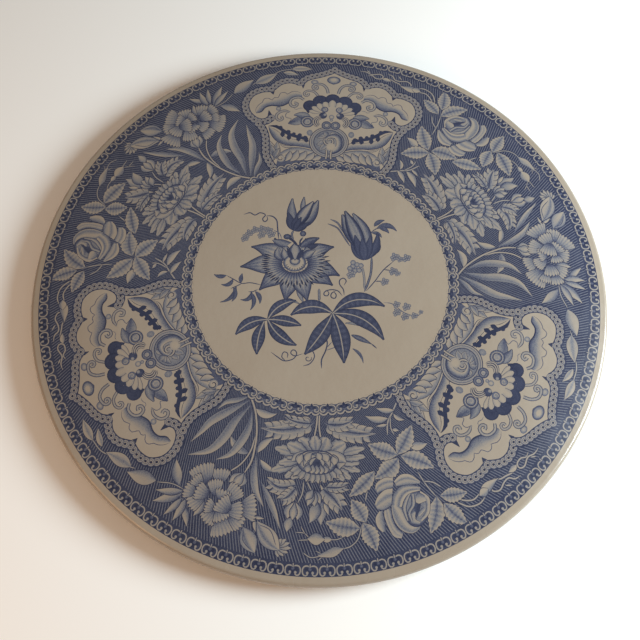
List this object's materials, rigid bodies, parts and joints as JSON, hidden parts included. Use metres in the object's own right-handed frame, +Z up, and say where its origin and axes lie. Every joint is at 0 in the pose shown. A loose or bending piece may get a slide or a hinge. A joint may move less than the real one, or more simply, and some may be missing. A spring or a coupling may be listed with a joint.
{
  "type": "china serving platter",
  "caption": "Round flat china serving platter on a foot ring, with blue underglaze flowers, scroll borders and cartouches around a cream centre.",
  "frame": {"origin": "centre of the plane that the foot ring stands on", "axes": "+Z up through the centre of the face; +Y towards the top of the bouquet, close to the first cartouche"},
  "size_m": [0.33, 0.33, 0.018],
  "materials": {
    "biscuit": "matte",
    "cream_glaze": "glossy",
    "blue_print": "glossy",
    "pale_blue_print": "glossy"
  },
  "bodies": {
    "root": {"body": "biscuit", "foot_ring": "cream_glaze", "lip_glaze": "cream_glaze", "back_glaze": "cream_glaze", "foot_well_glaze": "cream_glaze", "centre_print": "cream_glaze", "inner_border_print": "pale_blue_print", "outer_border_print": "blue_print", "cartouche_print_1": "cream_glaze", "cartouche_print_2": "cream_glaze", "cartouche_print_3": "cream_glaze", "floral_print_1": "blue_print", "floral_print_2": "blue_print", "floral_print_3": "blue_print"}
  },
  "joints": []
}
